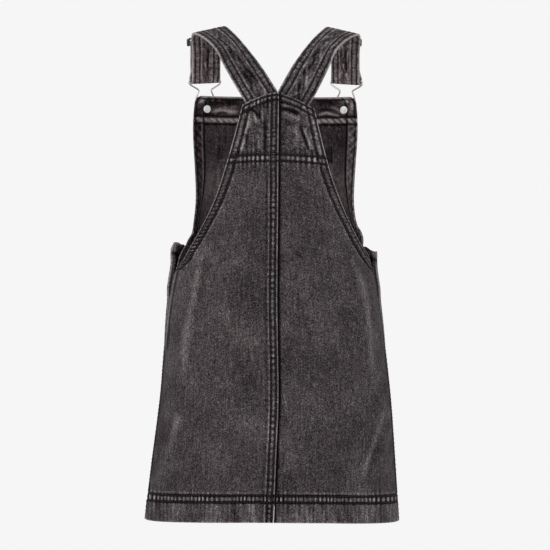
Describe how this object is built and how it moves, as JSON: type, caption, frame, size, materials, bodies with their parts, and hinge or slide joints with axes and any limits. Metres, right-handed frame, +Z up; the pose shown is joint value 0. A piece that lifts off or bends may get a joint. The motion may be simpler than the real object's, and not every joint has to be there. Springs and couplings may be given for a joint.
{
  "type": "denim pinafore dress",
  "caption": "Sleeveless denim pinafore dress with a bib, hip pockets, a flared skirt and buckled shoulder straps, hollow as if worn.",
  "frame": {"origin": "between the wearer's shoulders, level with the undersides of the two straps where they lie highest", "axes": "+X to the wearer's right, +Y to the wearer's front (the bib), +Z up"},
  "size_m": [0.2763, 0.1936, 0.5359],
  "materials": {
    "denim": "stone-washed black twill, matt",
    "metal": "bright nickel-plated steel"
  },
  "bodies": {
    "root": {"back_yoke_left": "denim", "back_yoke_right": "denim", "back_panel_left": "denim", "back_panel_right": "denim", "bib": "denim", "bib_pocket": "denim", "front_skirt": "denim", "hip_pocket_left": "denim", "hip_pocket_right": "denim", "strap_left": "denim", "strap_right": "denim", "slide_left": "metal", "slide_right": "metal", "buckle_left": "metal", "buckle_right": "metal", "button_left": "metal", "button_right": "metal", "tack_left": "metal", "tack_right": "metal"}
  },
  "joints": []
}
